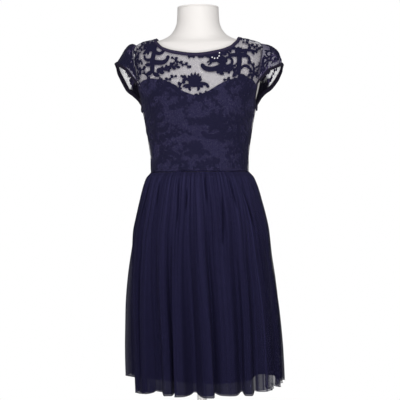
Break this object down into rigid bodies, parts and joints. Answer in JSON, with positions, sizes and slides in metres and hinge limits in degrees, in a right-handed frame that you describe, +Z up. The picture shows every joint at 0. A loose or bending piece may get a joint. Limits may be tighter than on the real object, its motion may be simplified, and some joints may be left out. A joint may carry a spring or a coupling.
{
  "type": "cocktail dress on a dress form",
  "caption": "Short dark blue cocktail dress with a see-through net yoke, cap sleeves and a gathered net skirt, on a limbless dress form with a pole stand.",
  "frame": {"origin": "centre of the stand's flat underside, on the floor under the form's axis", "axes": "+Z up, the dress faces -Y, +X is the wearer's left"},
  "size_m": [0.448, 0.3499, 1.508],
  "materials": {
    "embroidered_net": "fine navy net with raised navy embroidery",
    "navy_lining": "satin-faced lining",
    "skirt_net": "two plies of fine soft net",
    "navy_binding": "folded satin strip",
    "white_form": "smooth satin white",
    "white_steel": "white powder coat on steel"
  },
  "bodies": {
    "root": {"armhole_binding_left": "navy_binding", "armhole_binding_right": "navy_binding", "bodice_lining_front": "navy_lining", "bodice_lining_back_left": "navy_lining", "bodice_lining_back_right": "navy_lining", "bodice_net_front": "embroidered_net", "bodice_net_back_left": "embroidered_net", "bodice_net_back_right": "embroidered_net", "form_neck_cap": "white_form", "form_torso": "white_form", "neck_binding": "navy_binding", "skirt_lining_front": "navy_lining", "skirt_lining_back_left": "navy_lining", "skirt_lining_back_right": "navy_lining", "skirt_net_front": "skirt_net", "skirt_net_back_left": "skirt_net", "skirt_net_back_right": "skirt_net", "sleeve_left": "embroidered_net", "sleeve_right": "embroidered_net", "stand_base": "white_steel", "stand_pole": "white_steel"}
  },
  "joints": []
}
